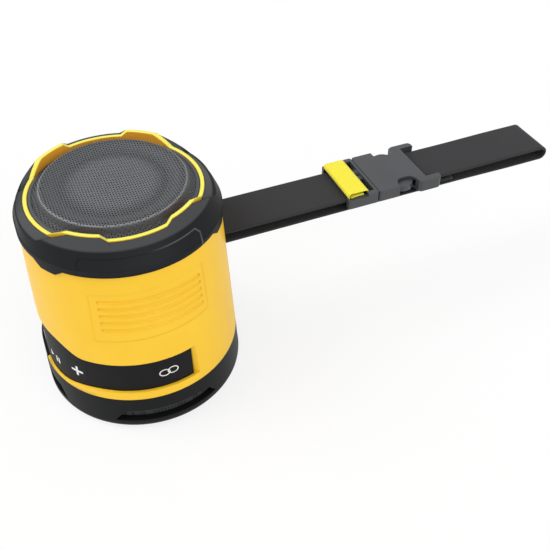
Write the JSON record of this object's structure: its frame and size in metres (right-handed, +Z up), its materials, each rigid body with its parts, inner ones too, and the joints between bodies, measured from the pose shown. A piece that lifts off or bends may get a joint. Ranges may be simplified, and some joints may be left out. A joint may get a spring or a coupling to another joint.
{
  "type": "jobsite bluetooth speaker",
  "caption": "Rugged oval portable speaker with a key band, bumpered crown and grille, slotted base, and a buckled carry strap that swings from its back.",
  "frame": {"origin": "centre of the foot pad's underside, on the oval body's upright axis", "axes": "+Z up along the body's axis, +Y towards the back where the strap leaves, -Y through the front with the keys"},
  "size_m": [0.1034, 0.2657, 0.106],
  "materials": {
    "yellow_abs": "satin moulded ABS",
    "bumper_tpe": "soft-touch overmould",
    "black_mesh": "painted mesh",
    "black_abs": "satin moulded ABS",
    "key_rubber": "matt silicone",
    "foot_rubber": "matt rubber",
    "screw_steel": "zinc plated",
    "grey_abs": "moulded inner plastic",
    "circuit_board": "solder mask",
    "socket_steel": "stamped steel",
    "cell_wrap": "shrink wrap",
    "driver_steel": "plated steel",
    "ferrite": "sintered ferrite",
    "cone_paper": "coated pulp",
    "roll_rubber": "moulded roll",
    "spider_cloth": "woven cloth",
    "coil_copper": "enamelled wire",
    "gasket_foam": "closed-cell foam",
    "passive_metal": "plain sheet",
    "webbing": "woven nylon",
    "tab_ribbon": "woven ribbon",
    "buckle_pom": "moulded acetal"
  },
  "bodies": {
    "case": {"housing": "yellow_abs", "bumper": "bumper_tpe", "grille": "black_mesh", "grille_ring": "black_abs", "keypad_band": "black_abs", "key_strip": "circuit_board", "base_ring": "black_abs", "base_mesh": "black_mesh", "foot_pad": "foot_rubber", "base_screws": "screw_steel", "chassis_plate": "grey_abs", "passive_frame": "black_abs", "passive_surround": "roll_rubber", "driver_gasket": "gasket_foam", "driver_basket": "driver_steel", "driver_screws": "screw_steel", "driver_top_plate": "driver_steel", "driver_magnet": "ferrite", "driver_yoke": "driver_steel", "surround": "roll_rubber", "spider": "spider_cloth", "battery_cells": "cell_wrap", "battery_holder": "grey_abs", "main_board": "circuit_board", "charging_socket": "socket_steel", "strap_bar": "screw_steel"},
    "cover": {"port_cover": "key_rubber"},
    "strap": {"strap_long": "webbing", "buckle_female": "buckle_pom"},
    "buckle": {"buckle_male": "buckle_pom", "strap_short": "webbing", "strap_tab": "tab_ribbon"},
    "arm_right": {"buckle_arm_right": "buckle_pom"},
    "arm_left": {"buckle_arm_left": "buckle_pom"},
    "cone_group": {"cone": "cone_paper", "dust_cap": "cone_paper", "voice_coil": "coil_copper"},
    "passive": {"passive_plate": "passive_metal"},
    "body_link": {"key_link": "key_rubber"},
    "body_plus": {"key_plus": "key_rubber"},
    "body_play": {"key_play": "key_rubber"},
    "body_minus": {"key_minus": "key_rubber"},
    "body_pairing": {"key_pairing": "key_rubber"},
    "body_power": {"key_power": "key_rubber"}
  },
  "joints": [
    {"name": "press_link", "type": "slide", "parent": "case", "child": "body_link", "axis": [-0.9986, -0.0523, 0], "range_m": [0, 0.0006], "stiffness_N_per_m": 900},
    {"name": "press_plus", "type": "slide", "parent": "case", "child": "body_plus", "axis": [-0.6639, 0.7478, 0], "range_m": [0, 0.0006], "stiffness_N_per_m": 900},
    {"name": "press_play", "type": "slide", "parent": "case", "child": "body_play", "axis": [-0.3681, 0.9298, 0], "range_m": [0, 0.0006], "stiffness_N_per_m": 900},
    {"name": "press_minus", "type": "slide", "parent": "case", "child": "body_minus", "axis": [-0.0279, 0.9996, 0], "range_m": [0, 0.0006], "stiffness_N_per_m": 900},
    {"name": "press_pairing", "type": "slide", "parent": "case", "child": "body_pairing", "axis": [0.3156, 0.9489, 0], "range_m": [0, 0.0006], "stiffness_N_per_m": 900},
    {"name": "press_power", "type": "slide", "parent": "case", "child": "body_power", "axis": [0.6639, 0.7478, 0], "range_m": [0, 0.0006], "stiffness_N_per_m": 900},
    {"name": "port_cover_hinge", "type": "hinge", "parent": "case", "child": "cover", "pos_m": [0, 0.04538, 0.0297], "axis": [-1, 0, 0], "range_deg": [0, 95]},
    {"name": "strap_swing", "type": "hinge", "parent": "case", "child": "strap", "pos_m": [0, 0.04038, 0.0684], "axis": [1, 0, 0], "range_deg": [-20, 58]},
    {"name": "buckle_release", "type": "slide", "parent": "strap", "child": "buckle", "axis": [0, -1, 0], "range_m": [0, 0.025], "deforming": ["strap_short", "buckle_arm_right", "buckle_arm_left"]},
    {"name": "squeeze_right", "type": "hinge", "parent": "buckle", "child": "arm_right", "pos_m": [0.0078, 0.1235, 0.0712], "axis": [0, 0, 1], "range_deg": [0, 8], "stiffness_Nm_per_rad": 0.5},
    {"name": "squeeze_left", "type": "hinge", "parent": "buckle", "child": "arm_left", "pos_m": [-0.0078, 0.1235, 0.0712], "axis": [0, 0, -1], "range_deg": [0, 8], "stiffness_Nm_per_rad": 0.5},
    {"name": "cone_excursion", "type": "slide", "parent": "case", "child": "cone_group", "axis": [0, 0, 1], "range_m": [-0.0025, 0.0025], "stiffness_N_per_m": 1000, "deforming": ["surround", "spider"]},
    {"name": "passive_excursion", "type": "slide", "parent": "case", "child": "passive", "axis": [0, 0, 1], "range_m": [-0.002, 0.002], "stiffness_N_per_m": 900, "deforming": ["passive_surround"]}
  ]
}
